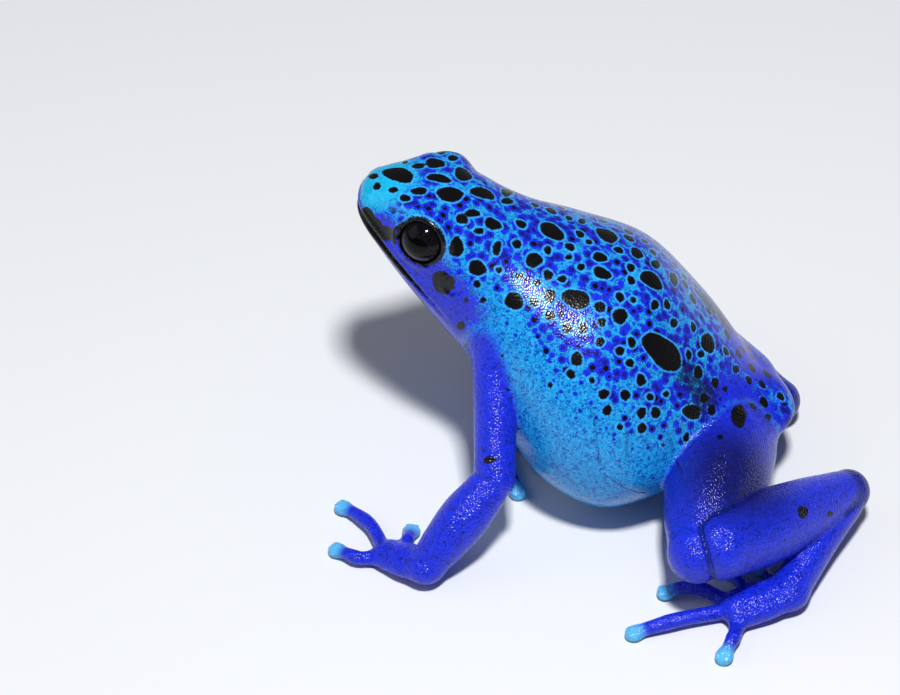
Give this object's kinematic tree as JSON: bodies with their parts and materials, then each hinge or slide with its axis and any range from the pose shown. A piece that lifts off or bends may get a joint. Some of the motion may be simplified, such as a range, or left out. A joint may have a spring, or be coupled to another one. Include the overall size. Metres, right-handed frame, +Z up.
{
  "type": "poison dart frog model",
  "caption": "Life-size still model of a blue poison dart frog that sits with its chest raised on straight front legs, hind legs folded.",
  "frame": {"origin": "centre of the footprint, on the floor that the hands and feet rest on", "axes": "-X the way the frog faces, -Y its left side, +Z up"},
  "size_m": [0.0489, 0.049, 0.0305],
  "materials": {
    "skin": "moist satin skin, blue with black spots",
    "eye": "wet gloss, near black"
  },
  "bodies": {
    "root": {"head": "skin", "torso": "skin", "eardrum_left": "skin", "eardrum_right": "skin", "upper_arm_left": "skin", "forearm_left": "skin", "hand_left": "skin", "finger_left_1": "skin", "finger_left_2": "skin", "finger_left_3": "skin", "finger_left_4": "skin", "thigh_left": "skin", "shank_left": "skin", "tarsus_left": "skin", "foot_left": "skin", "toe_left_1": "skin", "toe_left_2": "skin", "toe_left_3": "skin", "toe_left_4": "skin", "toe_left_5": "skin", "upper_arm_right": "skin", "forearm_right": "skin", "hand_right": "skin", "finger_right_1": "skin", "finger_right_2": "skin", "finger_right_3": "skin", "finger_right_4": "skin", "thigh_right": "skin", "shank_right": "skin", "tarsus_right": "skin", "foot_right": "skin", "toe_right_1": "skin", "toe_right_2": "skin", "toe_right_3": "skin", "toe_right_4": "skin", "toe_right_5": "skin", "eye_left": "eye", "eye_right": "eye"}
  },
  "joints": []
}
